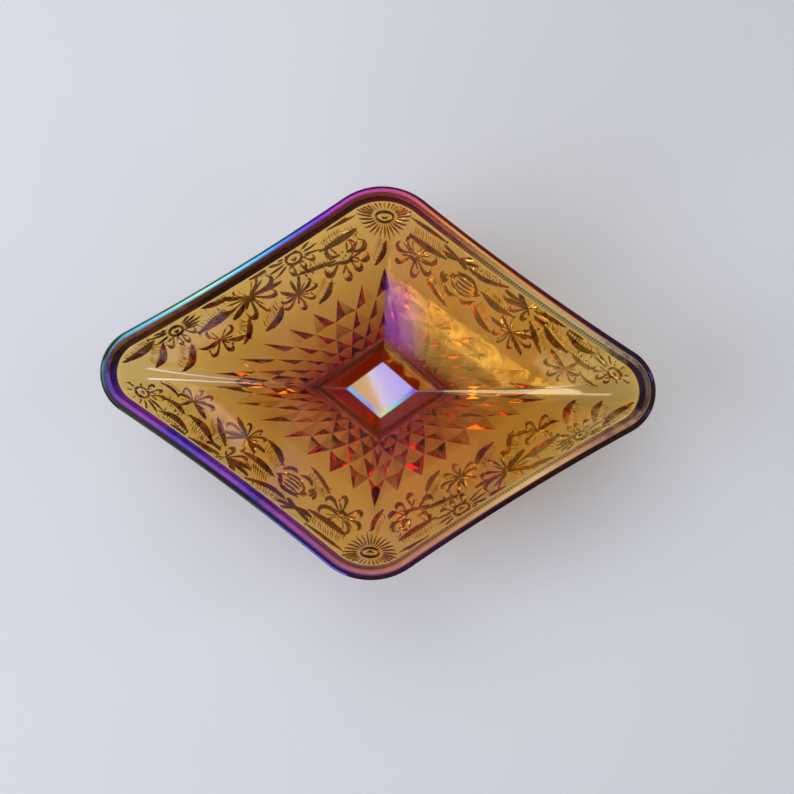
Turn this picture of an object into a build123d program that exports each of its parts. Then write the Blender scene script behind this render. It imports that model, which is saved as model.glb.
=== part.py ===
"""Pressed glass bowl, rhombic in plan, with its sprayed lustre film.

Millimetres, +Z up. The origin is the centre of the foot's resting face, +X runs along the long
diagonal and +Y along the short one. The glass is one pressing. The film is sprayed on it, inside
and outside, and is drawn much thicker than the real one so that it is a solid.
"""
import os
from math import acos, atan2, cos, degrees, hypot, radians, sin, tan

from build123d import *

# ---------------------------------------------------------------- driving dimensions
bowl_length = 210.4          # over the lip, along X
bowl_width = 148.6           # over the lip, along Y
bowl_height = 62.0           # foot to lip
end_radius = 17.0            # lip outline, at the two ends of the long diagonal
side_radius = 26.0           # lip outline, at the two ends of the short diagonal
panel_bow = 3.0              # degrees that each panel's edge turns inward at the lip

floor_length = 29.0          # the flat floor, corner to corner
floor_width = 23.6
floor_thickness = 6.5        # glass under the floor
well_length = 50.5           # top of the steep well wall round the floor
well_width = 39.4
well_depth = 5.0
crease_radius = 1.0          # the creases between panels, at the floor

foot_margin = 1.8            # how far the foot's resting face reaches past the well
foot_height = 6.0
foot_draft = 0.8             # how far its sides lean out over that height
foot_radius = 3.0            # its four upright edges

lip_wall = 2.9               # glass and film at the lip, measured level
lip_round = 1.5              # rounding of the lip's two edges, less where the wall is thin
base_wall = 8.6              # wall where it springs from the well, measured level
band_height = 7.0            # plain band outside, below the lip
band_depth = 0.7             # how far it stands proud of the wall

film = 0.25                  # lustre film, drawn thickness
film_slant = 1.3             # how much more the same film measures level, on the sloping wall
film_clear = 0.4             # the outside film starts this far above the resting face

# ---------------------------------------------------------------- the panels' profile
# Levels between the well and the lip: the share of the height climbed, the share of the way
# out covered, and the share of the way that the wall has thinned and the corners opened out.
panel_profile = [
    (0.14, 0.25, 0.25, 0.06),
    (0.33, 0.51, 0.55, 0.16),
    (0.58, 0.74, 0.75, 0.36),
    (0.83, 0.91, 0.95, 0.70),
]


def between(low, high, share):
    """The value that lies a share of the way from low to high."""
    return low + (high - low) * share


class Level:
    """One level of a surface: a rounded rhombus at a height."""

    def __init__(self, z, length, width, end_r, side_r, bow=0.0):
        self.z, self.length, self.width = z, length, width
        self.end_r, self.side_r, self.bow = end_r, side_r, bow

    def grown(self, out):
        """The parallel outline that lies this far further out, at the same height."""
        return Level(self.z, self.length + 2 * out, self.width + 2 * out,
                     self.end_r + out, self.side_r + out, self.bow)

    def moved_to(self, z):
        """The same outline at another height."""
        return Level(z, self.length, self.width, self.end_r, self.side_r, self.bow)


def outline(level):
    """Draws a level's outline: one quarter, corner arc, edge, corner arc, mirrored twice."""
    end_x = level.length / 2 - level.end_r       # centres of the corner arcs
    side_y = level.width / 2 - level.side_r
    bow = radians(level.bow)
    lean = acos((level.side_r - level.end_r) * cos(bow) / hypot(end_x, side_y))
    facing = lean - atan2(side_y, end_x)         # the way this quarter's edge faces
    end_turn, side_turn = degrees(facing + bow), degrees(facing - bow)
    end_arc = CenterArc((end_x, 0), level.end_r, 0, end_turn)
    side_arc = CenterArc((0, side_y), level.side_r, side_turn, 90 - side_turn)
    start, finish = end_arc @ 1, side_arc @ 0
    if level.bow:
        sag = (finish - start).length / 2 * tan(bow / 2)
        middle = (start + finish) / 2 - Vector(cos(facing), sin(facing)) * sag
        ThreePointArc(start, middle, finish)
    else:
        Line(start, finish)
    mirror(about=Plane.XZ)
    mirror(about=Plane.YZ)


def skin(levels, mode=Mode.ADD):
    """Lofts one smooth solid through the levels."""
    sections = []
    for level in levels:
        with BuildSketch(Plane.XY.offset(level.z)) as section:
            with BuildLine():
                outline(level)
            make_face()
        sections.append(section.sketch)
    loft(sections, mode=mode)


# ---------------------------------------------------------------- levels of both surfaces
lip_out = Level(bowl_height, bowl_length, bowl_width, end_radius, side_radius, panel_bow)
lip_in = lip_out.grown(-lip_wall)
floor_in = Level(floor_thickness, floor_length, floor_width, crease_radius, crease_radius)
well_in = Level(floor_thickness + well_depth, well_length, well_width,
                crease_radius, crease_radius)


def panel_level(climb, reach, opened):
    """The inside surface at one level between the well and the lip."""
    return Level(between(well_in.z, lip_in.z, climb),
                 between(well_in.length, lip_in.length, reach),
                 between(well_in.width, lip_in.width, reach),
                 between(well_in.end_r, lip_in.end_r, opened),
                 between(well_in.side_r, lip_in.side_r, opened),
                 between(well_in.bow, lip_in.bow, opened))


panels_in = [well_in]
walls = [base_wall]
for climb, reach, thinned, opened in panel_profile:
    panels_in.append(panel_level(climb, reach, opened))
    walls.append(between(base_wall, lip_wall, thinned))
panels_in.append(lip_in)
walls.append(lip_wall)
panels_out = [level.grown(wall) for level, wall in zip(panels_in, walls)]
panels_middle = [level.grown(wall / 2) for level, wall in zip(panels_in, walls)]

foot_bottom = Level(0, well_length + 2 * foot_margin, well_width + 2 * foot_margin,
                    foot_radius, foot_radius)
foot_top = foot_bottom.grown(foot_draft).moved_to(foot_height)
band_foot = lip_out.grown(-band_depth).moved_to(bowl_height - band_height)


def bowl_within(depth):
    """The bowl with so many films taken off all of it but the foot's resting face."""
    up = depth * film
    side = up * film_slant
    with BuildPart() as bowl:
        skin([foot_bottom.grown(-side), foot_top.grown(-side)])
        skin([foot_top.grown(-side), panels_out[0].grown(-side)])
        skin([level.grown(-side) for level in panels_out])
        skin([band_foot.grown(-side).moved_to(band_foot.z + up), lip_out.grown(-side)])
        skin([floor_in.grown(side).moved_to(floor_in.z - up), well_in.grown(side)],
             mode=Mode.SUBTRACT)
        skin([level.grown(side) for level in panels_in], mode=Mode.SUBTRACT)
        split(bisect_by=Plane.XY.offset(bowl_height - up), keep=Keep.BOTTOM)
        fillet(bowl.edges().group_by(Axis.Z)[-1], min(lip_round, 0.44 * lip_wall) - up)
    return bowl.part


# ---------------------------------------------------------------- glass
with BuildPart() as glass_body:
    add(bowl_within(1))

# ---------------------------------------------------------------- lustre film
# The film meets the glass face to face, and the two sides meet along the crest of the lip.
with BuildPart() as coating:
    add(bowl_within(0))
    add(glass_body.part, mode=Mode.SUBTRACT)

with BuildPart() as inner_half:
    skin([floor_in.moved_to(floor_thickness / 2), panels_middle[0]])
    skin(panels_middle)
    skin([panels_middle[-1], panels_middle[-1].moved_to(bowl_height + lip_wall)])

with BuildPart() as lustre_film_inside:
    add(coating.part)
    add(inner_half.part, mode=Mode.INTERSECT)

with BuildPart() as lustre_film_outside:
    add(coating.part)
    add(inner_half.part, mode=Mode.SUBTRACT)
    split(bisect_by=Plane.XY.offset(film_clear), keep=Keep.TOP)

# ---------------------------------------------------------------- files
pieces = {
    "glass_body": glass_body,
    "lustre_film_inside": lustre_film_inside,
    "lustre_film_outside": lustre_film_outside,
}
os.makedirs("parts", exist_ok=True)
for name, piece in pieces.items():
    piece.part.label = name
    export_step(piece.part, f"parts/{name}.step")
    print(name, len(piece.part.solids()), "solid", round(piece.part.volume), "mm3",
          "valid" if piece.part.is_valid else "NOT VALID")
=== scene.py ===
import math
from functools import partial
import bpy
import bmesh
import numpy as np
from mathutils import Matrix, Vector
from mathutils.geometry import delaunay_2d_cdt


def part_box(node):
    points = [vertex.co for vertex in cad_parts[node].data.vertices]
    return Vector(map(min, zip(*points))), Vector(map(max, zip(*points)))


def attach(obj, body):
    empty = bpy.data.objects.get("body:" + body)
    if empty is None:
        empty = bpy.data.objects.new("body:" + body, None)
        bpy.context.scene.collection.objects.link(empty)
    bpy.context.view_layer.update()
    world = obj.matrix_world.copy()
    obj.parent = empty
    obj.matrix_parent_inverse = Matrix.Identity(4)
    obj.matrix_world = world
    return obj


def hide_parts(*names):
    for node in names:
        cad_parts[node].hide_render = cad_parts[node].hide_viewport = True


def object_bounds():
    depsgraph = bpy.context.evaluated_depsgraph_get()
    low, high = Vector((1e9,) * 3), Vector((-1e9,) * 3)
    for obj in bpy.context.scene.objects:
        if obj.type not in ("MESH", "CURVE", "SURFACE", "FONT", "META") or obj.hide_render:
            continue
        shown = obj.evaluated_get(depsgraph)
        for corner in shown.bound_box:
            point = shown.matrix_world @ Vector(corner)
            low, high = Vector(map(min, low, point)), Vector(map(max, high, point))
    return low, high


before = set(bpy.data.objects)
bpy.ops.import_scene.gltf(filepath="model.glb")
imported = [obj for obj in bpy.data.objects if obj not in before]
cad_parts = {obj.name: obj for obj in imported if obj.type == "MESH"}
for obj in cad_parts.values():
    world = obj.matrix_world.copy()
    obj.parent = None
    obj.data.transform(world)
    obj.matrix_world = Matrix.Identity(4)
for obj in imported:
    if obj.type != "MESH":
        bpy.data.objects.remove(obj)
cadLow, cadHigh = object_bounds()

mm = 0.001
outsideLow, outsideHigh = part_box("lustre_film_outside")
roundedOff = 0.34  # what the lip's rounding takes off the bowl's length and width
panelFacing = math.radians(55.9)  # the way the upper right panel faces, from +X

# the bowl's shape: everything here is in millimetres, from the foot's resting face up
bowl = {
    "length": (outsideHigh.x - outsideLow.x) / mm + roundedOff,
    "width": (outsideHigh.y - outsideLow.y) / mm + roundedOff,
    "height": outsideHigh.z / mm,
    "endRadius": 17.0,
    "sideRadius": 26.0,
    "panelBow": 3.0,  # degrees
    "floorLength": 29.0,
    "floorWidth": 23.6,
    "floorThickness": 6.5,
    "wellLength": 50.5,
    "wellWidth": 39.4,
    "wellDepth": 5.0,
    "creaseRadius": 1.0,
    "footMargin": 1.8,
    "footHeight": 6.0,
    "footDraft": 0.8,
    "footRadius": 3.0,
    "lipWall": 2.9,
    "lipRadius": 1.5,
    "baseWall": 8.6,
    "bandHeight": 7.0,
    "bandDepth": 0.7,
    "ribCount": 512,  # fine upright ribs on the band
    "ribDepth": 0.28,
    "ribRun": 0.6,  # over how much of its height the band's ribs run in and out
    "sharpAngle": 16.0,  # edges bent by more degrees than this stay sharp
}
# how finely the skin is divided
counts = {
    "insidePoints": 512,  # round one ring
    "footPoints": 128,
    "wallPoints": 256,
    "insideRings": 27,
    "lipRings": 13,
    "wallRings": 34,
}
# climb, reach, wall thinned, corners opened: shares of the way from the well to the lip
panelProfile = [
    (0.14, 0.25, 0.25, 0.06),
    (0.33, 0.51, 0.55, 0.16),
    (0.58, 0.74, 0.75, 0.36),
    (0.83, 0.91, 0.95, 0.70),
]

# a level is z, half length, half width, end radius, side radius, bow in radians
def grown(level, out):
    z, hl, hw, er, sr, bow = level
    return (z, hl + out, hw + out, er + out, sr + out, bow)


def atHeight(level, z):
    return (z,) + tuple(level[1:])


def blend(low, high, share):
    return low + (high - low) * share


b = bowl
lipOut = (b["height"], b["length"] / 2, b["width"] / 2, b["endRadius"], b["sideRadius"],
          math.radians(b["panelBow"]))
lipIn = grown(lipOut, -b["lipWall"])
floorIn = (b["floorThickness"], b["floorLength"] / 2, b["floorWidth"] / 2,
           b["creaseRadius"], b["creaseRadius"], 0.0)
wellIn = (b["floorThickness"] + b["wellDepth"], b["wellLength"] / 2, b["wellWidth"] / 2,
          b["creaseRadius"], b["creaseRadius"], 0.0)
footBottom = (0.0, wellIn[1] + b["footMargin"], wellIn[2] + b["footMargin"],
              b["footRadius"], b["footRadius"], 0.0)
footTop = atHeight(grown(footBottom, b["footDraft"]), b["footHeight"])

insideLevels, walls = [wellIn], [b["baseWall"]]
for climb, reach, thinned, opened in panelProfile:
    shares = (climb, reach, reach, opened, opened, opened)
    insideLevels.append(tuple(blend(w, l, s) for w, l, s in zip(wellIn, lipIn, shares)))
    walls.append(blend(b["baseWall"], b["lipWall"], thinned))
insideLevels.append(lipIn)
walls.append(b["lipWall"])
outsideLevels = [grown(level, wall) for level, wall in zip(insideLevels, walls)]


def splineLevels(levels):
    # a natural cubic spline through the levels, one column at a time, by chord length
    rows = np.array(levels, float)
    knots = np.concatenate([[0], np.cumsum(np.hypot(np.diff(rows[:, 0]), np.diff(rows[:, 2])))])
    n = len(knots)
    gaps = np.diff(knots)
    system = np.zeros((n, n))
    right = np.zeros((n, rows.shape[1]))
    system[0, 0] = system[-1, -1] = 1
    for i in range(1, n - 1):
        system[i, i - 1], system[i, i + 1] = gaps[i - 1], gaps[i]
        system[i, i] = 2 * (gaps[i - 1] + gaps[i])
        right[i] = 6 * ((rows[i + 1] - rows[i]) / gaps[i] - (rows[i] - rows[i - 1]) / gaps[i - 1])
    bends = np.linalg.solve(system, right)

    def at(distance):
        distance = np.asarray(distance, float)
        i = np.clip(np.searchsorted(knots, distance, side="right") - 1, 0, n - 2)
        h = gaps[i][..., None]
        u = (distance - knots[i])[..., None]
        v = h - u
        return (bends[i] * v ** 3 + bends[i + 1] * u ** 3) / (6 * h) \
            + (rows[i] / h - bends[i] * h / 6) * v + (rows[i + 1] / h - bends[i + 1] * h / 6) * u

    return at, knots[-1]


def corners(level):
    # the two corner arcs' centres and where each arc ends
    z, hl, hw, er, sr, bow = np.moveaxis(np.asarray(level, float), -1, 0)
    endX, sideY = hl - er, hw - sr
    facing = np.arccos((sr - er) * np.cos(bow) / np.hypot(endX, sideY)) - np.arctan2(sideY, endX)
    return endX, sideY, er, sr, bow, facing


def outlinePoints(level, count):
    # points round a level's outline, anticlockwise from +X, the same shares at every level
    endX, sideY, er, sr, bow, facing = corners(level)
    n = count // 4
    onEnd, onSide = n * 5 // 32, n * 6 // 32
    turn = np.linspace(0, facing + bow, onEnd, endpoint=False)
    endArc = np.stack([endX + er * np.cos(turn), er * np.sin(turn)], 1)
    turn = np.linspace(facing - bow, math.pi / 2, onSide + 1)
    sideArc = np.stack([sr * np.cos(turn), sideY + sr * np.sin(turn)], 1)
    start = np.array([endX + er * math.cos(facing + bow), er * math.sin(facing + bow)])
    t = np.linspace(0, 1, n - onEnd - onSide, endpoint=False)[:, None]
    sag = np.hypot(*(sideArc[0] - start)) / 2 * math.tan(bow / 2)
    edge = start + (sideArc[0] - start) * t \
        - 4 * t * (1 - t) * sag * np.array([math.cos(facing), math.sin(facing)])
    quarter = np.concatenate([endArc, edge, sideArc[:-1]])
    tip = sideArc[-1:]
    top = np.concatenate([quarter, tip, quarter[:0:-1] * (-1, 1)])
    return np.concatenate([top, -top])


def outlineGap(x, y, level):
    # how far a plan point lies outside a level's outline (less than 0 is inside)
    endX, sideY, er, sr, bow, facing = corners(level)
    x, y = np.abs(x), np.abs(y)
    endTurn, sideTurn = facing + bow, facing - bow
    sx, sy = endX + er * np.cos(endTurn), er * np.sin(endTurn)
    fx, fy = sr * np.cos(sideTurn), sideY + sr * np.sin(sideTurn)
    chord = np.hypot(fx - sx, fy - sy)
    t = ((x - sx) * (fx - sx) + (y - sy) * (fy - sy)) / chord ** 2
    sag = chord / 2 * np.tan(bow / 2)
    edge = (x - sx) * np.cos(facing) + (y - sy) * np.sin(facing) \
        + 4 * np.clip(t * (1 - t), 0, 1) * sag
    gap = np.where(t < 0, np.hypot(x - endX, y) - er, edge)
    return np.where(t > 1, np.hypot(x, y - sideY) - sr, gap)


outsideAt, outsideSpan = splineLevels([footTop] + outsideLevels)
insideAt, insideSpan = splineLevels(insideLevels)


def heightOver(x, y, at, span):
    # the height of a wall's surface over plan points, by halving
    low, high = np.zeros(np.shape(x)), np.full(np.shape(x), float(span))
    for step in range(30):
        middle = (low + high) / 2
        outside = outlineGap(x, y, at(middle)) > 0
        low, high = np.where(outside, middle, low), np.where(outside, high, middle)
    return at((low + high) / 2)[..., 0]


def fullLevel(at, span, z):
    # the level of a wall at a height
    low, high = 0.0, float(span)
    for step in range(40):
        middle = (low + high) / 2
        if at(middle)[0] < z:
            low = middle
        else:
            high = middle
    return tuple(at(middle))


class Skin:
    # gathers the points and faces of one closed skin
    def __init__(self):
        self.points, self.tooled, self.count = [], [], 0
        self.faces, self.crisp = [], []

    def add(self, points, tooled=None):
        self.points.append(np.asarray(points, float))
        self.tooled.append(np.zeros(len(points)) if tooled is None else tooled)
        self.count += len(points)
        return list(range(self.count - len(points), self.count))

    def ring(self, level, count, out=None, tooled=None):
        flat = outlinePoints(level, count)
        if out is not None:
            flat = flat + outwards(flat) * np.asarray(out)[:, None]
        return self.add(np.column_stack([flat, np.full(len(flat), level[0])]), tooled)

    def bridge(self, lower, upper):
        # quads between two rings; where one has more points its extra ones fan out
        few, many = (lower, upper) if len(lower) <= len(upper) else (upper, lower)
        n, ratio = len(few), len(many) // len(few)
        for i in range(n):
            a, c = few[i], few[(i + 1) % n]
            fine = [many[(i * ratio + k) % len(many)] for k in range(ratio + 1)]
            if ratio == 1:
                self.faces.append((a, c, fine[1], fine[0]))
                continue
            half = ratio // 2
            for k in range(half):
                self.faces.append((a, fine[k + 1], fine[k]))
            self.faces.append((a, c, fine[half]))
            for k in range(half, ratio):
                self.faces.append((c, fine[k + 1], fine[k]))

    def cap(self, ring, z):
        centre = self.add([(0.0, 0.0, z)])[0]
        for i, a in enumerate(ring):
            self.faces.append((centre, a, ring[(i + 1) % len(ring)]))

    def mesh(self, name):
        data = bpy.data.meshes.new(name)
        points = np.concatenate(self.points) * mm
        data.from_pydata([tuple(p) for p in points], [], self.faces)
        data.shade_smooth()
        for i in self.crisp:
            data.polygons[i].use_smooth = False
        work = bmesh.new()
        work.from_mesh(data)
        bmesh.ops.recalc_face_normals(work, faces=work.faces)
        loose = sum(1 for e in work.edges if len(e.link_faces) != 2)
        print(name, len(work.verts), "points", len(work.faces), "faces", loose, "open edges")
        work.to_mesh(data)
        work.free()
        facets = np.zeros(len(data.polygons))
        facets[self.crisp] = 1.0
        for label, domain, values in (("tooled", "POINT", np.concatenate(self.tooled)),
                                      ("facet", "FACE", facets)):
            data.attributes.new(label, "FLOAT", domain).data.foreach_set("value", values)
        return data


def outwards(flat):
    # unit vectors square to a closed outline, pointing out
    along = np.roll(flat, -1, 0) - np.roll(flat, 1, 0)
    out = np.column_stack([along[:, 1], -along[:, 0]])
    return out / np.linalg.norm(out, axis=1)[:, None]


# the pressed relief, drawn in plan over the upper half of the wall; half a turn gives the rest
relief = {
    "lineFlank": 0.95,  # how steep a tooled line's wider flank is
    "lineWiden": 1.55,  # every line's width is multiplied by this
    "lineDepth": 0.6,  # a line's depth as a share of its width, before lineFlank
    "lean": 0.24,  # how far the bottom of a line lies toward the rim, as a share of its width
    "petalLine": 0.9,  # a petal's heavy line, before it is fitted to the petal's width
    "pointPitch": 0.287,  # diamond points: pitch along a panel, as a share of the distance out
    "pointRatio": 0.823,  # each row's distance out over that of the row outside it
    "pointReach": 41.5,  # the outermost row's tips
    "pointHeight": 0.245,  # height as a share of the pitch
    "pointRows": 4,
    "pointsPerRow": 8,  # in a quarter of the bowl
    "pointInner": 19.6,  # how near the well the innermost row comes
    "rimMargin": 0.3,  # how far below the band the lines stop
    "fullShadeDepth": 0.2,  # the depth of a cut at which its mark for the near black painted shade is full
}
cuts = []  # outline, bottom line, square to it, left and right reach, depth
cells = []  # outline of four corners, peak, height


def throughPoints(points, count):
    # a smooth curve through given points, sampled evenly in their own shares
    p = np.array(points, float)
    if len(p) == 2:
        return p[0] + (p[1] - p[0]) * np.linspace(0, 1, count)[:, None]
    p = np.concatenate([[2 * p[0] - p[1]], p, [2 * p[-1] - p[-2]]])
    t = np.linspace(0, len(p) - 3, count)
    i = np.minimum(t.astype(int), len(p) - 4)
    u = (t - i)[:, None]
    return 0.5 * (2 * p[i + 1] + (p[i + 2] - p[i]) * u
                  + (2 * p[i] - 5 * p[i + 1] + 4 * p[i + 2] - p[i + 3]) * u ** 2
                  + (3 * p[i + 1] - p[i] - 3 * p[i + 2] + p[i + 3]) * u ** 3)


def squareTo(line):
    along = np.gradient(line, axis=0)
    side = np.column_stack([-along[:, 1], along[:, 0]])
    return side / np.maximum(np.linalg.norm(side, axis=1), 1e-9)[:, None]


def towardCentre(points):
    # plan direction down the nearest panel
    return -np.sign(points + 1e-9) * (math.cos(panelFacing), math.sin(panelFacing))


def cutLine(points, width=0.7, ends=(0.0, 0.0), count=None, profile=None):
    # a tooled line with a V section whose wider flank faces the bowl's centre
    points = np.array(points, float)
    width = width * relief["lineWiden"]
    length = np.linalg.norm(np.diff(points, axis=0), axis=1).sum()
    count = count or int(np.clip(length / 1.1, 3, 12)) + (2 if len(points) > 2 else 0)
    line = throughPoints(points, count)
    t = np.linspace(0, 1, count)
    if profile:
        full = width * np.interp(t, np.linspace(0, 1, len(profile)), profile)
    else:
        swell = np.minimum(np.sin(math.pi * t) * 1.5, 1)
        full = width * np.maximum(swell, np.where(t < 0.5, ends[0], ends[1]))
    side = squareTo(line)
    lean = (side * towardCentre(line)).sum(1) * relief["lean"]
    depth = full * relief["lineDepth"] * relief["lineFlank"]
    addCut(line, side, full * (0.5 + lean), full * (0.5 - lean), depth)


def addCut(line, side, left, right, depth):
    # a cut from its bottom line, how far its two flanks reach and how deep it is at each point
    left, right = line + side * left[:, None], (line - side * right[:, None])[::-1]
    outline = np.concatenate([left, right])
    apart = np.linalg.norm(outline - np.roll(outline, 1, 0), axis=1) > 1e-6
    cuts.append((outline[apart], line, side, np.linalg.norm(left - line, axis=1),
                 np.linalg.norm(right[::-1] - line, axis=1), depth))


def cutLoop(centre, radii, tilt, width=0.6, count=22):
    # a closed oval line, made of short stretches
    width = width * relief["lineWiden"]
    turn = np.linspace(0, 2 * math.pi, count, endpoint=False)
    c, s = math.cos(math.radians(tilt)), math.sin(math.radians(tilt))
    x, y = radii[0] * np.cos(turn), radii[1] * np.sin(turn)
    middle = np.column_stack([centre[0] + c * x - s * y, centre[1] + s * x + c * y])
    side = outwards(middle)
    lean = (side * towardCentre(middle)).sum(1) * relief["lean"]
    depth = np.full(2, width * relief["lineDepth"] * relief["lineFlank"])
    for i in range(count):
        pair = [i, (i + 1) % count]
        addCut(middle[pair], side[pair], width * (0.5 + lean[pair]), width * (0.5 - lean[pair]), depth)


def cutPetal(base, tip, width=2.6):
    # a petal: a crescent down the side toward the bowl's centre, round the tip, and a fine line back
    base, tip = np.array(base, float), np.array(tip, float)
    axis = tip - base
    side = np.array([-axis[1], axis[0]]) / np.linalg.norm(axis)
    if (side * towardCentre((base + tip)[None] / 2)[0]).sum() < -0.12:
        side = -side
    half = side * width / 2
    path = [base, base + axis * 0.35 + half * 0.55, base + axis * 0.68 + half * 0.95,
            base + axis * 0.93 + half * 0.62, tip, base + axis * 0.93 - half * 0.55]
    heavy = relief["petalLine"] * min(1.3, max(0.75, width / 2.4))
    cutLine(path, heavy, count=13, profile=(0.35, 0.5, 0.75, 1.0, 1.0, 0.7, 0.25))
    back = [base, base + axis * 0.4 - half * 0.5, base + axis * 0.72 - half * 0.85]
    cutLine(back, heavy * 0.45)


def cutFlower(centre, tips, width=2.6, gap=0.08):
    for tip in tips:
        tip = np.array(tip, float)
        wide = width
        if len(tip) == 3:
            tip, wide = tip[:2], tip[2]
        base = np.array(centre) + (tip - np.array(centre)) * gap
        if wide < 1.25:
            cutLine([base, tip], wide, profile=(0.35, 0.6, 0.9, 1.0, 0.6))
        else:
            cutPetal(base, tip, wide)


def cutDaisy(centre, radii, tilt, rays):
    # an oval eye in a ring, with rays: each ray is its tip
    cutLoop(centre, radii, tilt)
    pupil = (radii[0] * 0.42, radii[1] * 0.36)
    c, s = math.cos(math.radians(tilt)), math.sin(math.radians(tilt))
    line = [(-pupil[0], 0.1), (0, -pupil[1]), (pupil[0], 0.1)]
    cutLine([(centre[0] + c * x - s * y, centre[1] + s * x + c * y) for x, y in line], 0.5)
    for tip in rays:
        dx, dy = tip[0] - centre[0], tip[1] - centre[1]
        u, v = (c * dx + s * dy) / radii[0], (-s * dx + c * dy) / radii[1]
        start = 1.22 / math.hypot(u, v)
        cutLine([(centre[0] + dx * start, centre[1] + dy * start), tip], 0.42, (0.0, 0.6))


def cutLeaf(path, body=1.3, veins=0, veinLength=3.2, veinTurn=125.0, span=(0.1, 0.9)):
    # a slim leaf: a blade, short bars across it where it is wide, and a comb of fine veins on one side
    # (veins is 1 for its left side, -1 for its right and 0 for none)
    length = np.linalg.norm(np.diff(np.array(path, float), axis=0), axis=1).sum()
    line = throughPoints(path, 40)
    side = squareTo(line)
    ahead = np.column_stack([side[:, 1], -side[:, 0]])
    cutLine(line[::6], body, profile=(0.3, 0.8, 1.0, 1.0, 0.75, 0.35))
    if body > 0.85:
        steps = max(int(length * 0.8 / 1.15), 2)
        for i in range(steps):
            k = int((0.04 + 0.8 * (i + 0.5) / steps) * 39)
            reach = body * 0.62 + 0.35
            lean = ahead[k] * 0.6
            bar = (side[k] - lean) * reach
            cutLine([line[k] + bar, line[k] - bar], 0.4, profile=(0.4, 1.0, 1.0, 0.4))
    turn = math.radians(veinTurn)
    count = max(int(length / 1.35), 3)
    for i in range(count if veins else 0):
        share = (i + 0.5) / count
        k = int((span[0] + (span[1] - span[0]) * share) * 39)
        way = ahead[k] * math.cos(turn) + side[k] * math.sin(turn) * veins
        start = line[k] + side[k] * veins * (body * 0.5 + 0.45)
        reach = veinLength * (0.65 + 0.35 * math.sin(math.pi * share))
        cutLine([start, start + way * reach], 0.27)


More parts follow.
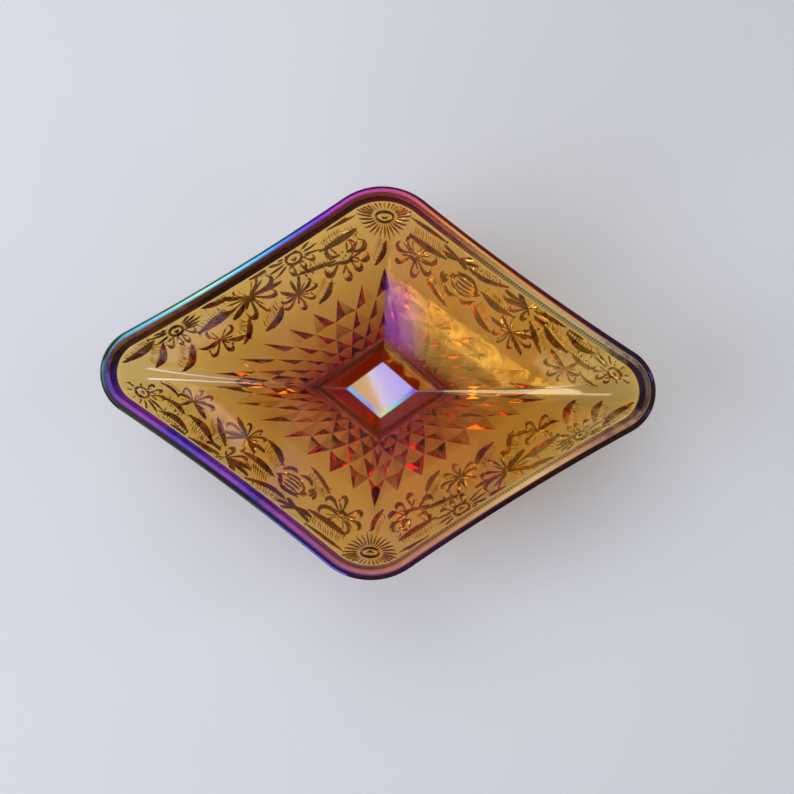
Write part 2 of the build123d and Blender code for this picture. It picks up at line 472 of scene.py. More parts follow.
def drawFlowers():
    # the corner daisy and its leaves
    rays = [(11.0 * math.cos(a), (4.2 if math.sin(a) > 0 else 6.4) * math.sin(a))
            for a in np.linspace(0, 2 * math.pi, 30, endpoint=False) + 0.1]
    cutDaisy((0, 67), (3.9, 1.5), 0, [(x, 67 + y) for x, y in rays])
    cutLeaf([(-12.5, 65.3), (-20, 61.3), (-27, 56.7)], 0.8, -1, 1.4, 100)
    cutLeaf([(-12, 61.6), (-18.5, 57.3), (-26, 51.8)], 1.3, -1, 2, 120, span=(0.4, 0.9))
    cutLeaf([(11.5, 65.7), (19, 61), (26.5, 55.6)], 0.8, 1, 1.4, 100)
    cutLeaf([(10.8, 61), (18, 56.3), (26.5, 50.8)], 1.3, 1, 3.2, 130)
    cutLeaf([(0.6, 59.5), (-1.2, 55.5), (-5.4, 50.2)], 1.5, -1, 3.4, 118)
    # left-hand panel, from the corner outwards
    cutFlower((-16.5, 51.8), [
        (-14, 57.6), (-9.2, 58.4), (-7.8, 54.2), (-10.2, 49.8), (-16, 44.6), (-24, 45.4),
        (-23.4, 52.6)], 3.2, 0.34)
    cutLine([(-20.5, 49.4), (-17.2, 50.2), (-14.6, 51.6), (-13.2, 54.4)], 0.9)
    for x, y in ((-18.6, 52.3), (-17.4, 53.4), (-16.2, 52.5), (-15.6, 53.9), (-17, 51.5)):
        cutLine([(x - 0.5, y - 0.3), (x + 0.5, y + 0.3)], 0.5)
    cutDaisy((-35.3, 48.3), (3.3, 1.5), 33, [
        (-33, 53.2), (-29.2, 54.6), (-27.3, 54), (-26.4, 52.5), (-43.2, 48.9), (-43.5, 45.4),
        (-44.2, 43.7), (-44.2, 41.6), (-41.6, 41.4)])
    cutFlower((-35.3, 48.3), [(-28, 50.2, 1.9), (-31.2, 46.8, 2.4), (-36.6, 43.3, 2.4)], gap=0.45)
    cutLeaf([(-20.8, 49.8), (-27.5, 46.8), (-36.5, 42.2)], 0.9)
    cutFlower((-35, 36.5), [
        (-30.2, 42.6, 1.4), (-27.8, 41.2, 1.4), (-28.6, 36.8, 1.8), (-33.2, 31.8, 2.8), (-39.8, 30.8, 1.5),
        (-41.2, 33, 1.4), (-40.8, 36.3, 1.1), (-37.2, 40.3, 1.2), (-34.3, 41.4, 1.1)], gap=0.06)
    cutLeaf([(-21.9, 42.8), (-23.8, 38.5), (-27.6, 33.6)], 1.4, -1, 3.6, 118)
    cutLeaf([(-40.8, 31.8), (-43.6, 26.8), (-48.7, 21.2)], 1.6, -1, 3.8, 118)
    cutLeaf([(-45.5, 42.6), (-51, 39.8), (-58, 37.2)], 0.9, -1, 1.3, 95, span=(0, 0.5))
    cutFlower((-52.5, 33.2), [
        (-49.6, 40, 1.5), (-44.2, 40.9, 2.6), (-41.2, 39.8, 0.9), (-43.1, 36.4, 2.4), (-46, 29.9, 1.6),
        (-53, 26.3, 4), (-59.2, 24.9, 1.2), (-63.4, 26, 2), (-62, 31, 1), (-58, 33.4, 1.8)], gap=0.06)
    cutLine([(-54.4, 32.2), (-52.2, 32.4), (-50.4, 34.2)], 0.8)
    cutLeaf([(-59.5, 32), (-65.5, 28.8), (-71.8, 26.3)], 0.9, -1, 1.4, 98)
    cutLeaf([(-60.2, 27.3), (-66, 23.6), (-72.6, 18)], 1.7)
    cutLeaf([(-53.8, 25.6), (-54.4, 21), (-56.8, 15.6)], 1.4, -1, 3.4, 105)
    cutFlower((-65, 17), [
        (-60.6, 22.4, 2), (-69.6, 18.6, 2.2), (-68.8, 10.8, 2.2), (-60.9, 14.4, 2.8),
        (-57.5, 18.8, 2)], gap=0.06)
    cutLine([(-53, 20.4), (-58.5, 18.4), (-62, 17.4)], 0.7)
    cutLine([(-73.6, 12.5), (-70.2, 13.4), (-67.4, 15.4), (-64.4, 17.2)], 0.8)
    cutDaisy((-79.7, 18.2), (2.7, 1.25), 32, [
        (-77, 23.8), (-74, 24.3), (-72.4, 24.2), (-71, 23.8), (-71.4, 22.4), (-72.4, 21), (-87, 18.4),
        (-88.6, 16.6), (-89.4, 15), (-89.8, 13.6), (-87.2, 12.4)])
    cutFlower((-79.7, 18.2), [
        (-73.2, 19.6, 1.9), (-75.8, 15.6, 2), (-79.2, 13.8, 1.9), (-83.2, 12.4, 2)], gap=0.42)
    cutLeaf([(-88, 13.6), (-93.5, 9), (-99.6, 3.4)], 1.5, -1, 1.2, 100, span=(0, 0.35))
    cutLeaf([(-85.2, 12.8), (-86.6, 8), (-89.2, 3)], 1.7, -1, 3, 110)
    cutLeaf([(-75.4, 13.8), (-76.6, 8.5), (-80.2, 2.2)], 1.7, -1, 3.6, 112)
    # right-hand panel
    cutFlower((13.2, 53.8), [
        (6.2, 58.8), (10.6, 60, 2.2), (17.8, 55.8, 2), (22, 51.2), (19.6, 47.4), (13.6, 46.8),
        (5.8, 53.6)], 2.8, 0.16)
    cutLine([(11.6, 54.1), (12.8, 52.8), (14.8, 51.9)], 0.9)
    knot = (30.5, 50.6)
    for tip in ((24.2, 56.2), (23.4, 54.4), (25, 52.9), (36.4, 50.2), (38.4, 47.2), (34.4, 46.6)):
        cutLine([knot, tip], 0.8, (0.9, 0))
    cutLeaf([(34.5, 47.4), (41, 43.2), (51, 39.2)], 1, 1, 1.5, 95)
    cutLoop((33.4, 41.9), (5.6, 2.7), -34)
    for off in (-1.3, 0, 1.3):
        cutLine([(29.8 + off * 0.5, 44.4 + off * 0.8), (33.2 + off * 0.6, 41.8 + off * 0.8),
                 (36.6 + off * 0.4, 39.8 + off * 0.8)], 0.5)
    for x, y in ((30.2, 42.8), (32.2, 43.8), (32.4, 40.4), (34.6, 42.2), (35.2, 38.9), (34, 39.9)):
        cutLine([(x, y - 0.8), (x + 0.3, y + 0.8)], 0.45)
    cutLine([(24.9, 47.9), (24.5, 46.4), (25.6, 44.8), (27.2, 44.5)], 1.2)
    cutLine([(26.8, 45.4), (28, 46), (29.2, 46.2)], 0.9)
    cutLine([(25.5, 43.2), (27.4, 40.2), (31.2, 38.3)], 0.9)
    cutLine([(31.6, 37.8), (34.2, 36.1), (37.8, 36.3)], 1)
    cutLine([(29.4, 47.2), (33.4, 45.2), (36.8, 42.8), (38.2, 38.8), (40, 38)], 0.9)
    cutLeaf([(18.8, 45.4), (22.6, 40.2), (27.6, 34.4)], 1, 1, 3.8, 122)
    cutLeaf([(40.6, 38.8), (46.6, 34), (53.2, 29.8)], 1.4, 1, 4.2, 135)
    cutLeaf([(37.8, 34.6), (40.8, 29.6), (45.3, 24.4)], 1.5, 1, 3.8, 125)
    cutFlower((52.8, 24.6), [
        (45.4, 30, 1), (49, 30.2, 1.2), (53.4, 30, 1.4), (46, 25.4, 2.2), (47.8, 21.6, 1.6),
        (53.2, 18.8, 2), (57.4, 17.2, 1.2), (60.8, 19.4, 2.2), (61.4, 22.4, 1.1),
        (59.2, 24.9, 0.9)], gap=0.06)
    cutFlower((58, 32.2), [
        (49.6, 38.5, 1), (48.8, 36.6, 1.1), (54, 37.2, 1), (51, 33.2, 2), (57.2, 28.9, 2.8),
        (61.6, 33.4, 1.6)], gap=0.06)
    cutLeaf([(60.2, 31.4), (66, 28.6), (73, 24.6)], 0.9, 1, 1.4, 98)
    cutLine([(60, 30), (63, 27.8), (66.4, 26.2)], 0.8)
    cutLeaf([(59.4, 27.6), (62.6, 22), (65, 16.3)], 1.3, 1, 2.6, 125, span=(0.5, 1))
    cutLeaf([(64.4, 26.2), (69, 21), (74.6, 16.4)], 1.5, 1, 3.4, 130)
    cutLeaf([(73, 25), (79.5, 20.4)], 0.9, 1, 1.2, 98)
    cutLeaf([(73.4, 22.6), (79, 18), (85, 15.2)], 1.2, 1, 1.3, 98, span=(0.4, 1))
    cutFlower((74.6, 10.9), [
        (67, 14.2, 2.4), (69.6, 16.8, 1.2), (78.4, 12.6, 1.2), (80.4, 8.8, 1.8), (78.8, 5.6, 1.6),
        (72.8, 6.2, 1.6), (68.4, 9.4, 2.4)], gap=0.06)
    cutLeaf([(76.2, 16), (80, 12.8), (85, 9.8)], 1)
    cutLeaf([(80.6, 8.6), (84, 5.4), (87.6, 2.8)], 0.8, -1, 1.6, 120)
    cutDaisy((92.2, 8.3), (2.9, 1.5), -42, [
        (85.4, 15.4), (83.6, 15), (88.6, 14.6), (91.4, 12.2), (94.4, 10.6), (96.9, 6.9), (96.6, 4.6),
        (93.4, 4.2)])
    cutFlower((92.2, 8.3), [(84.8, 11, 2), (86.4, 7.8, 2.2), (89.2, 5.2, 2)], gap=0.42)


def drawPoints():
    # rows of four-sided points between the well and the flowers, fanning out from the well
    r = relief
    toSide, toEnd = 1 / math.tan(panelFacing), math.tan(panelFacing)
    last = r["pointsPerRow"] - 1

    def node(row, k):
        out = max(r["pointReach"] * r["pointRatio"] ** row, r["pointInner"])
        along = toSide - r["pointPitch"] * (k + 0.5 * (row % 2))
        along = max(along, -toEnd)
        return np.array([out * (math.cos(panelFacing) - along * math.sin(panelFacing)),
                         out * (math.sin(panelFacing) + along * math.cos(panelFacing))])

    for row in range(r["pointRows"]):
        odd = row % 2
        for k in range(r["pointsPerRow"]):
            right, left = node(row + 1, k - 1 + odd), node(row + 1, k + odd)
            tip, foot = node(row, k), node(row + 2, k)
            peak = node(row + 1, k - 0.5 + odd)
            if k == 0 and not odd:
                right = left * (-1, 1)
            if k == last and odd:
                left = right * (1, -1)
                peak[1] = 0
            height = r["pointHeight"] * r["pointPitch"] * r["pointReach"] * r["pointRatio"] ** (row + 1)
            outline = np.array([tip, left, foot, right])
            for sx, sy in ((1, 1), (-1, 1), (-1, -1), (1, -1)):
                if (k == 0 and not odd and sx < 0) or (k == last and odd and sy < 0):
                    continue
                cells.append((outline * (sx, sy), peak * (sx, sy), height))


print("drawing the relief")
drawFlowers()
cuts += [(-outline, -line, -side, *reachAndDepth) for outline, line, side, *reachAndDepth in cuts]
drawPoints()


def insidePolygon(x, y, polygon):
    hit = np.zeros(np.shape(x), bool)
    for (ax, ay), (bx, by) in zip(polygon, np.roll(polygon, -1, 0)):
        crosses = (ay > y) != (by > y)
        with np.errstate(divide="ignore", invalid="ignore"):
            hit ^= crosses & (x < (bx - ax) * (y - ay) / (by - ay) + ax)
    return hit


def reliefAt(x, y):
    # how far the glass stands proud of the plain wall at plan points; less than 0 where it is cut
    cut = np.zeros(np.shape(x))
    for outline, line, side, left, right, depth in cuts:
        low, high = outline.min(0) - 0.01, outline.max(0) + 0.01
        near = np.flatnonzero((x > low[0]) & (x < high[0]) & (y > low[1]) & (y < high[1]))
        if not len(near):
            continue
        px, py = x[near], y[near]
        best, sink = np.full(len(near), 1e9), np.zeros(len(near))
        for i in range(len(line) - 1):
            (ax, ay), (dx, dy) = line[i], line[i + 1] - line[i]
            t = np.clip(((px - ax) * dx + (py - ay) * dy) / (dx * dx + dy * dy), 0, 1)
            offX, offY = px - ax - t * dx, py - ay - t * dy
            gap = np.hypot(offX, offY)
            onLeft = offX * side[i, 0] + offY * side[i, 1] > 0
            reach = np.where(onLeft, blend(left[i], left[i + 1], t), blend(right[i], right[i + 1], t))
            here = blend(depth[i], depth[i + 1], t) * np.maximum(0, 1 - gap / np.maximum(reach, 1e-6))
            sink = np.where(gap < best, here, sink)
            best = np.minimum(gap, best)
        cut[near] = np.maximum(cut[near], sink)
    proud = -cut
    for outline, peak, height in cells:
        near = np.flatnonzero(np.hypot(x - peak[0], y - peak[1]) < 1e-4)
        proud[near] = height
    return proud


def wallPoints(x, y):
    # plan points carried to the outside wall, with the relief laid on square to it
    step = 0.05
    z = heightOver(x, y, outsideAt, outsideSpan)
    slopeX = (heightOver(x + step, y, outsideAt, outsideSpan) - z) / step
    slopeY = (heightOver(x, y + step, outsideAt, outsideSpan) - z) / step
    facing = np.stack([slopeX, slopeY, -np.ones_like(z)], -1)
    facing /= np.linalg.norm(facing, axis=-1)[..., None]
    proud = reliefAt(x, y)
    points = np.stack([x, y, z], -1) + facing * proud[..., None]
    # the second value is how deep a point lies in a cut, which sets its painted shade
    return points, np.clip(-proud / relief["fullShadeDepth"], 0, 1)


def buildGlass():
    fine, inner, footCount = b["ribCount"] * 2, counts["insidePoints"], counts["footPoints"]
    alternate = np.arange(fine) % 2
    skin = Skin()
    # inside: floor, well wall, panels
    below = skin.ring(floorIn, inner)
    skin.cap(below, b["floorThickness"])
    for share in (0.25, 0.5, 0.75, 1.0):
        level = tuple(blend(f, w, share) for f, w in zip(floorIn, wellIn))
        ring = skin.ring(level, inner)
        skin.bridge(below, ring)
        below = ring
    lipCentre = b["height"] - b["lipRadius"]
    lipLevel = fullLevel(insideAt, insideSpan, lipCentre)
    distances = np.linspace(0, insideSpan, 400)
    lastInside = np.interp(lipCentre, insideAt(distances)[:, 0], distances)
    for distance in np.linspace(0, lastInside, counts["insideRings"])[1:]:
        level = tuple(insideAt(distance))
        # up by the lip every other point, behind each rib, is marked for the strip's painted rib shadows and
        # near black painted shade
        last = distance == lastInside
        ring = skin.ring(level, fine if last else inner, tooled=alternate * 1.0 if last else None)
        skin.bridge(below, ring)
        below = ring
    # the lip, rolled over from the inside to the outside
    wall = b["lipWall"] + (lipIn[1] - lipLevel[1])
    for turn in np.linspace(0, math.pi, counts["lipRings"])[1:-1]:
        across = wall * (1 - math.cos(turn)) / 2
        level = atHeight(grown(lipLevel, across), lipCentre + b["lipRadius"] * math.sin(turn))
        ring = skin.ring(level, inner)
        skin.bridge(below, ring)
        below = ring
    # the ribbed band
    bandFoot = b["height"] - b["bandHeight"]
    zigzag = np.where(alternate, -b["ribDepth"], 0.0)
    run = b["ribRun"]
    for z, ribs in ((lipCentre, 0), (lipCentre - run, 1), (bandFoot + run, 1), (bandFoot, 0)):
        share = (b["height"] - z) / b["bandHeight"]
        level = atHeight(grown(lipOut, -b["bandDepth"] * share), z)
        # the ribs' hollows are marked for near black painted shade
        ring = skin.ring(level, fine, zigzag * ribs, alternate * 0.8 * ribs)
        skin.bridge(below, ring)
        below = ring
    wallTop = skin.ring(fullLevel(outsideAt, outsideSpan, bandFoot), fine)
    skin.bridge(below, wallTop)
    # the outside wall, cut to follow the relief
    wallFoot = skin.ring(tuple(outsideAt(0.0)), footCount)
    layWall(skin, wallTop, wallFoot)
    ring = skin.ring(footBottom, footCount)
    skin.bridge(wallFoot, ring)
    skin.cap(ring, 0.0)
    return skin.mesh("pressedGlass")


def keptWithin(line, level):
    # points beyond a level drawn back to it
    over = np.maximum(outlineGap(line[:, 0], line[:, 1], level), 0)
    return line + towardCentre(line) * over[:, None]


def layWall(skin, top, foot):
    rings = np.concatenate(skin.points)
    topFlat, footFlat = rings[top][:, :2], rings[foot][:, :2]
    points = [tuple(p) for p in topFlat] + [tuple(p) for p in footFlat]
    n, m = len(top), len(foot)
    edges = [(i, (i + 1) % n) for i in range(n)] + [(n + i, n + (i + 1) % m) for i in range(m)]
    topLevel = fullLevel(outsideAt, outsideSpan, rings[top[0]][2])
    free = []
    for distance in np.linspace(0, outsideSpan, counts["wallRings"])[1:]:
        level = tuple(outsideAt(distance))
        if level[0] < topLevel[0] - 1.0:
            free.append(outlinePoints(level, counts["wallPoints"]))
    free = np.concatenate(free)
    for outline, peak, height in cells:
        grownOutline = peak + (outline - peak) * 1.04
        free = free[~insidePolygon(free[:, 0], free[:, 1], grownOutline)]
    points += [tuple(p) for p in free]

    def addLine(line, closed=False):
        start = len(points)
        points.extend(tuple(p) for p in line)
        edges.extend((start + i, start + i + 1) for i in range(len(line) - 1))
        if closed:
            edges.append((start + len(line) - 1, start))

    highest = grown(topLevel, -relief["rimMargin"])
    for outline, line, side, left, right, depth in cuts:
        addLine(keptWithin(outline, highest), True)
        addLine(keptWithin(line, highest))
    for outline, peak, height in cells:
        addLine(outline, True)
        for corner in outline:
            addLine([corner, peak])
    made, _, faces, origin, _, _ = delaunay_2d_cdt([Vector(p) for p in points], edges, [], 0, 2e-3)
    flat = np.array([tuple(p) for p in made])
    own = {}
    for i, sources in enumerate(origin):
        for source in sources:
            if source < n + m:
                own[i] = top[source] if source < n else foot[source - n]
    fresh = [i for i in range(len(flat)) if i not in own]
    placed = skin.add(*wallPoints(flat[fresh, 0], flat[fresh, 1]))
    own.update(zip(fresh, placed))
    middle = flat[np.array([list(f) for f in faces])].mean(1)
    wanted = insidePolygon(middle[:, 0], middle[:, 1], topFlat)
    wanted &= ~insidePolygon(middle[:, 0], middle[:, 1], footFlat)
    crisp = np.zeros(len(middle), bool)
    for outline, peak, height in cells:
        crisp |= insidePolygon(middle[:, 0], middle[:, 1], outline)
    for face, keep, plain in zip(faces, wanted, crisp):
        if keep:
            if plain:
                skin.crisp.append(len(skin.faces))
            skin.faces.append(tuple(own[i] for i in face))


def linear(code):
    # an sRGB hex value as a linear colour
    channels = [int(code[i:i + 2], 16) / 255 for i in (0, 2, 4)]
    return [c / 12.92 if c <= 0.04045 else ((c + 0.055) / 1.055) ** 2.4 for c in channels] + [1.0]


def addNode(tree, kind, settings=None, links=None, out=0):
    # one node with its settings, ramp stops and inputs (values, or sockets to link); gives an output
    node = tree.nodes.new("ShaderNode" + kind)
    for key, value in (settings or {}).items():
        if key != "stops":
            setattr(node, key, value)
            continue
        ramp = node.color_ramp
        while len(ramp.elements) > 1:
            ramp.elements.remove(ramp.elements[-1])
        for i, (place, colour) in enumerate(value):
            stop = ramp.elements[0] if i == 0 else ramp.elements.new(place)
            stop.position = place
            stop.color = linear(colour) if isinstance(colour, str) else (colour, colour, colour, 1)
    for key, value in (links or {}).items():
        if isinstance(value, bpy.types.NodeSocket):
            tree.links.new(value, node.inputs[key])
        else:
            node.inputs[key].default_value = value
    return node.outputs[out] if node.outputs else node


glass = {
    "absorbs": (0.982, 0.768, 0.034, 1.0),  # nearly all the red passes, and little of the blue
    "density": 450.0,
    "bending": 1.52,  # index of refraction
    "roughness": 0.02,
    "cutPaintedShade": "030101",  # painted shade: the near black let through in the cut lines and the ribs' hollows
    "facetPaintedShade": "a05c1c",  # painted shade on the points' facets turned away from lampSide; facetMost is its strongest share
    "facetMost": 0.6,
    "ribPaintedShadow": "14060c",  # painted shadow between the ribs under the lip
    "cloudSize": 42.0,  # mm, how far apart the lustre's slow changes lie
    "speckSize": 3.0,  # mm, the mottling of the band
    "lipLustre": 0.94,
    "stripSatin": 0.85,
    "paintedReflectionWeight": 0.48,
    "insideLustre": 0.13,
    "floorLustre": 0.6,
    "lustreRoughness": 0.10,
    "rimRatio": 1.42,  # length over width, for the way round the rim
    "rimSquare": (1.0, 1.8, 0.0),  # times the place, roughly square to the rim
    "panelOut": (0.56, 0.83, 0.0),  # out along a panel, in plan
    "lampSide": (0.72, -0.6, 0.0),  # the way that the points' light facets face
    "floorEdge": (0.63, -0.77),  # out across the floor's near edges
    # mm from the resting face, from where a part of the film begins to where it is full
    "heights": {"lip": (59.2, 60.0), "strip": (58.1, 58.5), "panels": (11.6, 12.4), "floor": (6.9, 6.6)},
    "edgeReach": (6.6, 8.4),  # mm, the same for the floor's near edges
    "bodyReach": (14.0, 60.0),  # mm, from the bowl's centre
    # the glass's own deeper amber toward the well, with painted shade of the dim floor under the bowl and a
    # dark painted ring at the well's edge, from the well outwards to the rim, over bodyReach
    "bodyAmberAndShade": [
        (0, "d06a50"), (0.03, "402040"), (0.06, "a03c34"), (0.12, "e88a4c"), (0.22, "fcc888"),
        (0.45, "ffeac0"), (0.7, "fff0cc"), (1, "fbefc4")],
    # the order in which the film's colours follow one another as it thickens
    "filmColours": [
        (0, "1c140c"), (0.08, "bce4b0"), (0.2, "60bcd0"), (0.32, "3a62d4"), (0.44, "6a30c8"),
        (0.56, "b83a98"), (0.68, "e87440"), (0.8, "f2b878"), (0.9, "ece068"), (1, "b4e0b8")],
    # round the rim from +X anticlockwise: which colour of the order it is, and a painted brightness: high
    # toward +Y and -X where the lip mirrors the lamps, near dark elsewhere
    "lipOrder": [
        (0, 0.36), (0.04, 0.46), (0.08, 0.66), (0.14, 0.7), (0.2, 0.72), (0.245, 0.58), (0.285, 0.5),
        (0.32, 0.33), (0.36, 0.24), (0.41, 0.14), (0.45, 0.22), (0.49, 0.24), (0.54, 0.2), (0.66, 0.36),
        (0.74, 0.46), (0.8, 0.52), (0.9, 0.52), (0.96, 0.44), (1, 0.36)],
    "lipPaintedLight": [
        (0, 0.1), (0.05, 0.3), (0.12, 0.62), (0.25, 0.62), (0.36, 0.9), (0.46, 0.75), (0.49, 0.16),
        (0.52, 0.025), (0.64, 0.03), (0.72, 0.22), (0.78, 0.25), (0.84, 0.1), (0.95, 0.06), (1, 0.1)],
    # and the colours of the strip under it
    "bandColours": [
        (0, "141030"), (0.045, "2a1c38"), (0.075, "b8a470"), (0.12, "c0a468"), (0.2, "a07c48"),
        (0.245, "7c2034"), (0.3, "541028"), (0.37, "30080c"), (0.44, "2c0c1c"), (0.485, "7a4428"),
        (0.51, "101038"), (0.535, "5030c0"), (0.565, "b040d0"), (0.6, "3030d8"), (0.64, "9448e0"),
        (0.68, "3828b0"), (0.715, "b048c0"), (0.75, "a85888"), (0.79, "b87060"), (0.84, "d09860"),
        (0.91, "f4cc84"), (0.96, "d8a070"), (0.985, "a07060"), (1, "141030")],
    # across the floor, and along its two near edges
    "floorColours": [(0, "b89460"), (0.32, "c4a47c"), (0.45, "c8c4dc"), (0.6, "b4b0f0"), (1, "9c9cec")],
    "edgeColours": [(0, "58b8e8"), (0.35, "6888e8"), (0.55, "c8d494"), (0.7, "60d0e0"), (1, "4848d8")],
    # inside, from the left corner to the right one
    "insideColours": [
        (0, "d0c8e4"), (0.4, "c4a8cc"), (0.49, "b884c8"), (0.56, "e48cb0"), (0.62, "f8c878"),
        (0.75, "f6dc78"), (1, "f0e6b0")],
    # a painted reflection of a window in the corner of the right-hand panel: how strong from left to right
    # and out from the centre, and its colours from left to right
    "paintedReflectionAlong": [
        (0, 0), (0.5, 0), (0.505, 1), (0.54, 0.9), (0.565, 0.62), (0.62, 0.5), (0.7, 0.4), (0.78, 0)],
    "paintedReflectionOut": [(0, 0), (0.24, 0), (0.32, 1), (0.52, 1), (0.6, 0)],
    "paintedReflectionColours": [(0, "7c50d8"), (0.3, "c060e0"), (0.6, "f4c0e0"), (0.8, "f8dca0"), (1, "f8d860")],
}
# settings that many nodes share
smooth = {"interpolation_type": "SMOOTHSTEP"}
times = {"operation": "MULTIPLY"}
timesPlus = {"operation": "MULTIPLY_ADD"}
alongWay = {"operation": "DOT_PRODUCT"}
between = {"data_type": "RGBA"}
tinted = {"data_type": "RGBA", "blend_type": "MULTIPLY"}


def amberGlass():
    # amber pressed glass under a sprayed metal film: gold right through, pastel where it mirrors the ceiling
    material = bpy.data.materials.new("amberGlassWithGlossyLustre")
    material.use_nodes = True
    tree = material.node_tree
    tree.nodes.clear()
    add = partial(addNode, tree)
    g = glass
    place = add("TexCoord", out="Object")
    normal = add("TexCoord", out="Normal")
    front = add("Math", {"operation": "SUBTRACT"}, {
        0: 1.0, 1: add("NewGeometry", out="Backfacing")})
    xyz = add("SeparateXYZ", {}, {"Vector": place}).node.outputs
    cloud = add("TexNoise", {}, {"Vector": place, "Scale": 1000 / g["cloudSize"], "Detail": 2.0})
    speck = add("TexNoise", {}, {"Vector": place, "Scale": 1000 / g["speckSize"], "Detail": 1.0})
    sway = add("Math", timesPlus, {0: cloud, 1: 0.06, 2: -0.03})
    # which part of the film a place belongs to, by its height
    isAt = {}
    for part, (begins, full) in g["heights"].items():
        isAt[part] = add("MapRange", smooth, {
            "Value": xyz["Z"], "From Min": begins * mm, "From Max": full * mm})
    # the share of the way round the rim, and how far the surface leans outwards
    around = add("Math", {"operation": "ARCTAN2"}, {
        0: add("Math", times, {0: xyz["Y"], 1: g["rimRatio"]}), 1: xyz["X"]})
    share = add("Math", {"operation": "FRACT"}, {
        0: add("Math", timesPlus, {0: around, 1: 1 / (2 * math.pi), 2: 1.0})})
    swayed = add("Math", {"operation": "ADD"}, {0: share, 1: sway})
    mottled = add("Math", timesPlus, {0: speck, 1: 0.05, 2: swayed})
    radial = add("VectorMath", {"operation": "NORMALIZE"}, {
        0: add("VectorMath", times, {0: place, 1: g["rimSquare"]})})
    tilt = add("VectorMath", alongWay, {0: radial, 1: normal}, "Value")
    # the lip: film colours, with their brightness round the rim painted
    order = add("Math", timesPlus, {
        0: tilt, 1: -0.12, 2: add("ValToRGB", {"stops": g["lipOrder"]}, {"Fac": share})})
    order = add("Math", timesPlus, {
        0: add("Math", {"operation": "SUBTRACT"}, {0: cloud, 1: 0.5}), 1: 0.14, 2: order})
    lipColour = add("Mix", tinted, {
        0: 1.0, 6: add("ValToRGB", {"stops": g["filmColours"]}, {"Fac": order}),
        7: add("ValToRGB", {"stops": g["lipPaintedLight"]}, {"Fac": swayed})}, 2)
    isOuter = add("MapRange", smooth, {"Value": tilt, "From Min": -0.35, "From Max": -0.15})
    isLip = add("Math", times, {0: isAt["lip"], 1: isOuter})
    # the strip under the lip as a matt film with painted rib shadows, and a painted reflection of a window
    # on the right-hand panel, both in a diffuse layer
    isStrip = add("Math", times, {
        0: isAt["strip"],
        1: add("MapRange", smooth, {"Value": tilt, "From Min": 0.0, "From Max": -0.2})})
    stripColour = add("ValToRGB", {"stops": g["bandColours"]}, {"Fac": mottled})
    acrossBowl = add("Math", timesPlus, {0: xyz["X"], 1: 5.0, 2: 0.5})
    paintedReflectionAlong = add("ValToRGB", {"stops": g["paintedReflectionAlong"]}, {"Fac": acrossBowl})
    outward = add("VectorMath", alongWay, {0: place, 1: g["panelOut"]}, "Value")
    paintedReflectionOut = add("ValToRGB", {"stops": g["paintedReflectionOut"]}, {
        "Fac": add("Math", timesPlus, {
            0: sway, 1: 1.5, 2: add("Math", times, {0: outward, 1: 14.3})})})
    paintedReflection = add("Math", times, {0: paintedReflectionAlong, 1: paintedReflectionOut})
    paintedReflectionColour = add("ValToRGB", {"stops": g["paintedReflectionColours"]}, {
        "Fac": add("Math", timesPlus, {0: xyz["X"], 1: 50.0, 2: sway})})
    ribbed = add("Attribute", {"attribute_name": "tooled"}, out="Fac")
    satinAndPaintedLightColour = add("Mix", between, {0: isStrip, 6: paintedReflectionColour, 7: stripColour}, 2)
    # painted rib shadows on the strip
    satinAndPaintedLightColour = add("Mix", between, {
        0: add("Math", times, {0: isStrip, 1: ribbed}),
        6: satinAndPaintedLightColour, 7: linear(g["ribPaintedShadow"])}, 2)
    satinAndPaintedLightWeight = add("Math", {"operation": "MAXIMUM"}, {
        0: add("Math", times, {0: isStrip, 1: g["stripSatin"]}),
        1: add("Math", times, {0: paintedReflection, 1: g["paintedReflectionWeight"]})})
    # the floor: tan to lilac, with two bright near edges
    unsigned = add("VectorMath", {"operation": "ABSOLUTE"}, {0: place})
    edge = add("VectorMath", alongWay, {
        0: add("VectorMath", times, {0: unsigned, 1: (g["floorEdge"][0], 0.0, 0.0)}),
        1: (1.0, 1.0, 1.0)}, "Value")
    edge = add("Math", timesPlus, {0: xyz["Y"], 1: g["floorEdge"][1], 2: edge})
    isEdge = add("MapRange", smooth, {
        "Value": edge, "From Min": g["edgeReach"][0] * mm, "From Max": g["edgeReach"][1] * mm})
    acrossFloor = add("Math", timesPlus, {0: xyz["X"], 1: 36.0, 2: 0.5})
    floorColour = add("Mix", between, {
        0: isEdge, 6: add("ValToRGB", {"stops": g["floorColours"]}, {
            "Fac": add("Math", timesPlus, {0: xyz["Y"], 1: 18.0, 2: acrossFloor})}),
        7: add("ValToRGB", {"stops": g["edgeColours"]}, {"Fac": acrossFloor})}, 2)
    insideColour = add("ValToRGB", {"stops": g["insideColours"]}, {"Fac": acrossBowl})
    colour = add("Mix", between, {0: isAt["floor"], 6: insideColour, 7: floorColour}, 2)
    colour = add("Mix", between, {0: isLip, 6: colour, 7: lipColour}, 2)
    # how much of the light the lustre turns back
    upward = add("MapRange", smooth, {
        "Value": add("SeparateXYZ", {}, {"Vector": normal}).node.outputs["Z"],
        "From Min": -0.1, "From Max": 0.1})
    inside = add("Math", timesPlus, {
        0: isAt["panels"], 1: g["insideLustre"],
        2: add("Math", times, {0: isAt["floor"], 1: g["floorLustre"]})})
    inside = add("Math", times, {0: inside, 1: upward})
    weight = add("Math", {"operation": "MAXIMUM"}, {
        0: inside, 1: add("Math", times, {0: isLip, 1: g["lipLustre"]})})
    weight = add("Math", times, {0: weight, 1: front})
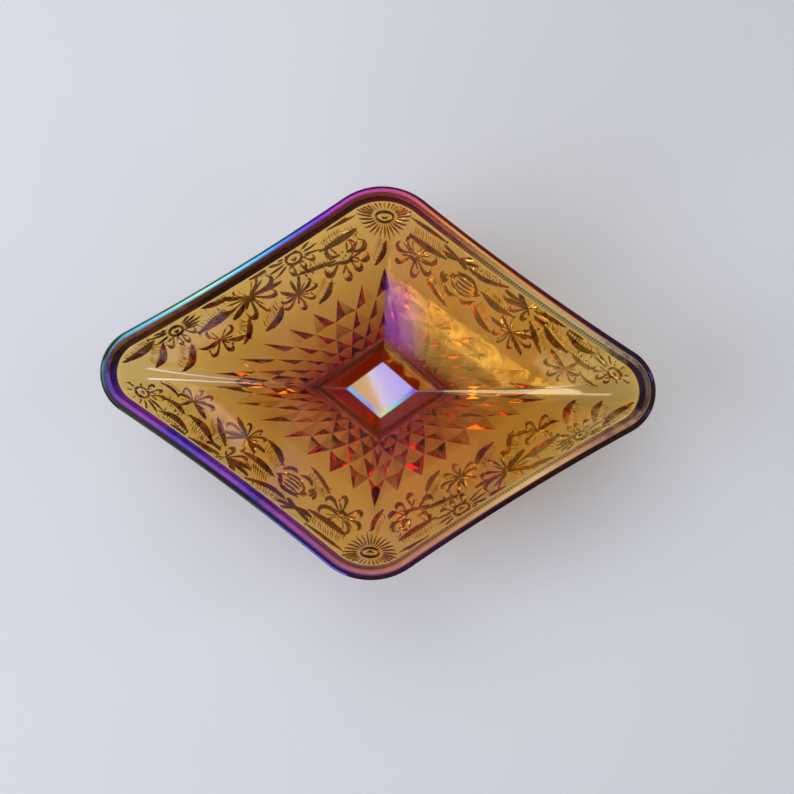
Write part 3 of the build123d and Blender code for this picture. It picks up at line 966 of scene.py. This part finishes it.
    # what the glass lets through: deeper toward the well, partly its own amber and partly painted shade,
    # with painted shade on the points' far facets and near black painted shade in the cut lines and ribs
    outAt = add("VectorMath", alongWay, {0: unsigned, 1: g["panelOut"]}, "Value")
    body = add("ValToRGB", {"stops": g["bodyAmberAndShade"]}, {
        "Fac": add("MapRange", {}, {
            "Value": outAt, "From Min": g["bodyReach"][0] * mm, "From Max": g["bodyReach"][1] * mm})})
    # painted shade: the points' facets turned away from lampSide are tinted darker
    lean = add("VectorMath", alongWay, {0: normal, 1: g["lampSide"]}, "Value")
    facet = add("Math", times, {
        0: add("Attribute", {"attribute_name": "facet"}, out="Fac"),
        1: add("MapRange", smooth, {
            "Value": add("Math", timesPlus, {0: speck, 1: 0.3, 2: lean}),
            "From Min": 0.45, "From Max": -0.35, "To Max": g["facetMost"]})})
    body = add("Mix", tinted, {0: facet, 6: body, 7: linear(g["facetPaintedShade"])}, 2)
    # near black painted shade in the cut lines and the ribs' hollows
    body = add("Mix", between, {
        0: add("MapRange", smooth, {"Value": ribbed, "From Min": 0.0, "From Max": 0.16}),
        6: body, 7: linear(g["cutPaintedShade"])}, 2)
    # the floor takes none of this tint or painted shade
    passed = add("Mix", between, {0: isAt["floor"], 6: body, 7: linear("ffffff")}, 2)
    clear = add("BsdfPrincipled", {}, {
        "Base Color": passed, "Roughness": g["roughness"], "IOR": g["bending"], "Transmission Weight": 1.0})
    lustre = add("BsdfAnisotropic", {}, {"Color": colour, "Roughness": g["lustreRoughness"]})
    satinAndPaintedLight = add("BsdfDiffuse", {}, {"Color": satinAndPaintedLightColour})
    mixed = add("MixShader", {}, {0: weight, 1: clear, 2: lustre})
    shown = add("Math", times, {0: front, 1: upward})
    mixed = add("MixShader", {}, {
        0: add("Math", times, {0: satinAndPaintedLightWeight, 1: shown}), 1: mixed, 2: satinAndPaintedLight})
    volume = add("VolumeAbsorption", {}, {"Color": g["absorbs"], "Density": g["density"]})
    add("OutputMaterial", {}, {"Surface": mixed, "Volume": volume})
    return material


print("building the glass")
glassMesh = buildGlass()
glassMesh.set_sharp_from_angle(angle=math.radians(bowl["sharpAngle"]))
glassPiece = bpy.data.objects.new("pressedGlassBody", glassMesh)
bpy.context.scene.collection.objects.link(glassPiece)
print("making its material")
glassPiece.data.materials.append(amberGlass())
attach(glassPiece, "root")
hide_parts("glass_body", "lustre_film_inside", "lustre_film_outside")

# the stage, lights and camera
print("setting the stage")
stage = {
    "floorColour": "e6e6ea",
    "floorRoughness": 0.7,
    "floorSize": 4.0,
    "floorDrop": 0.0002,  # so that the foot and the floor do not share a face
    "roomColour": "c8ccd4",
    "roomLight": 0.18,
    "sensor": 36.0,
    "focal": 47.83375,
    "cameraDistance": 0.3975,
    "cameraRight": 0.0079,
    "cameraUp": -0.0060,
    "turn": 2.35,  # degrees, as are the two tilts
    "tiltRight": 1.3,
    "tiltDown": 3.1,
}
floorMaterial = bpy.data.materials.new("mattPaleBoard")
floorMaterial.use_nodes = True
board = floorMaterial.node_tree.nodes["Principled BSDF"].inputs
board["Base Color"].default_value = linear(stage["floorColour"])
board["Roughness"].default_value = stage["floorRoughness"]
half = stage["floorSize"] / 2
floorMesh = bpy.data.meshes.new("floor")
floorCorners = [(-half, -half, 0), (half, -half, 0), (half, half, 0), (-half, half, 0)]
floorMesh.from_pydata(floorCorners, [], [(0, 1, 2, 3)])
floorObject = bpy.data.objects.new("floor", floorMesh)
floorObject.location.z = -stage["floorDrop"]
bpy.context.scene.collection.objects.link(floorObject)
floorMesh.materials.append(floorMaterial)


def areaLight(name, place, target, size, power, colour="ffffff"):
    light = bpy.data.lights.new(name, "AREA")
    light.shape = "RECTANGLE"
    light.size, light.size_y = size
    light.energy = power
    light.color = linear(colour)[:3]
    lamp = bpy.data.objects.new(name, light)
    lamp.location = place
    lamp.rotation_mode = "QUATERNION"
    lamp.rotation_quaternion = (Vector(target) - Vector(place)).to_track_quat("-Z", "Y")
    bpy.context.scene.collection.objects.link(lamp)
    return lamp


areaLight("ceilingPanel", (-0.28, 0.26, 1.6), (-0.28, 0.26, 0), (1.3, 1.5), 8.6)
areaLight("topLight", (-0.4, 1.25, 1.5), (0, 0, 0), (1.8, 0.9), 6.8)
areaLight("leftLight", (-1.1, -0.25, 0.95), (0, 0, 0), (0.9, 0.9), 8.5, "e6edff")
areaLight("windowLight", (-1.3, -1.9, 0.45), (0, 0, 0.05), (1.3, 0.8), 26, "e4ecff")
areaLight("farLampLeft", (1.9, 0.7, 1.3), (0, 0, 0.05), (0.3, 1.5), 5)
areaLight("farLampRight", (1.9, -0.6, 1.3), (0, 0, 0.05), (0.3, 1.5), 3.6)
areaLight("nearLamp", (-1.9, 0.3, 1.0), (0, 0, 0.05), (0.3, 1.2), 2)
world = bpy.data.worlds.new("room")
bpy.context.scene.world = world
world.use_nodes = True
room = world.node_tree.nodes["Background"].inputs
room["Color"].default_value = linear(stage["roomColour"])
room["Strength"].default_value = stage["roomLight"]

camera = bpy.data.cameras.new("camera")
camera.sensor_width = stage["sensor"]
camera.lens = stage["focal"]
cameraObject = bpy.data.objects.new("camera", camera)
bpy.context.scene.collection.objects.link(cameraObject)
turn = Matrix.Rotation(math.radians(stage["turn"]), 4, "Z")
down = Matrix.Rotation(math.radians(stage["tiltDown"]), 4, "X")
right = Matrix.Rotation(math.radians(stage["tiltRight"]), 4, "Y")
centre = Vector((0, 0, cadHigh.z))
away = Matrix.Translation((stage["cameraRight"], stage["cameraUp"], stage["cameraDistance"]))
cameraObject.matrix_world = Matrix.Translation(centre) @ turn @ down @ right @ away
bpy.context.scene.camera = cameraObject
bpy.context.scene.view_settings.view_transform = "Standard"
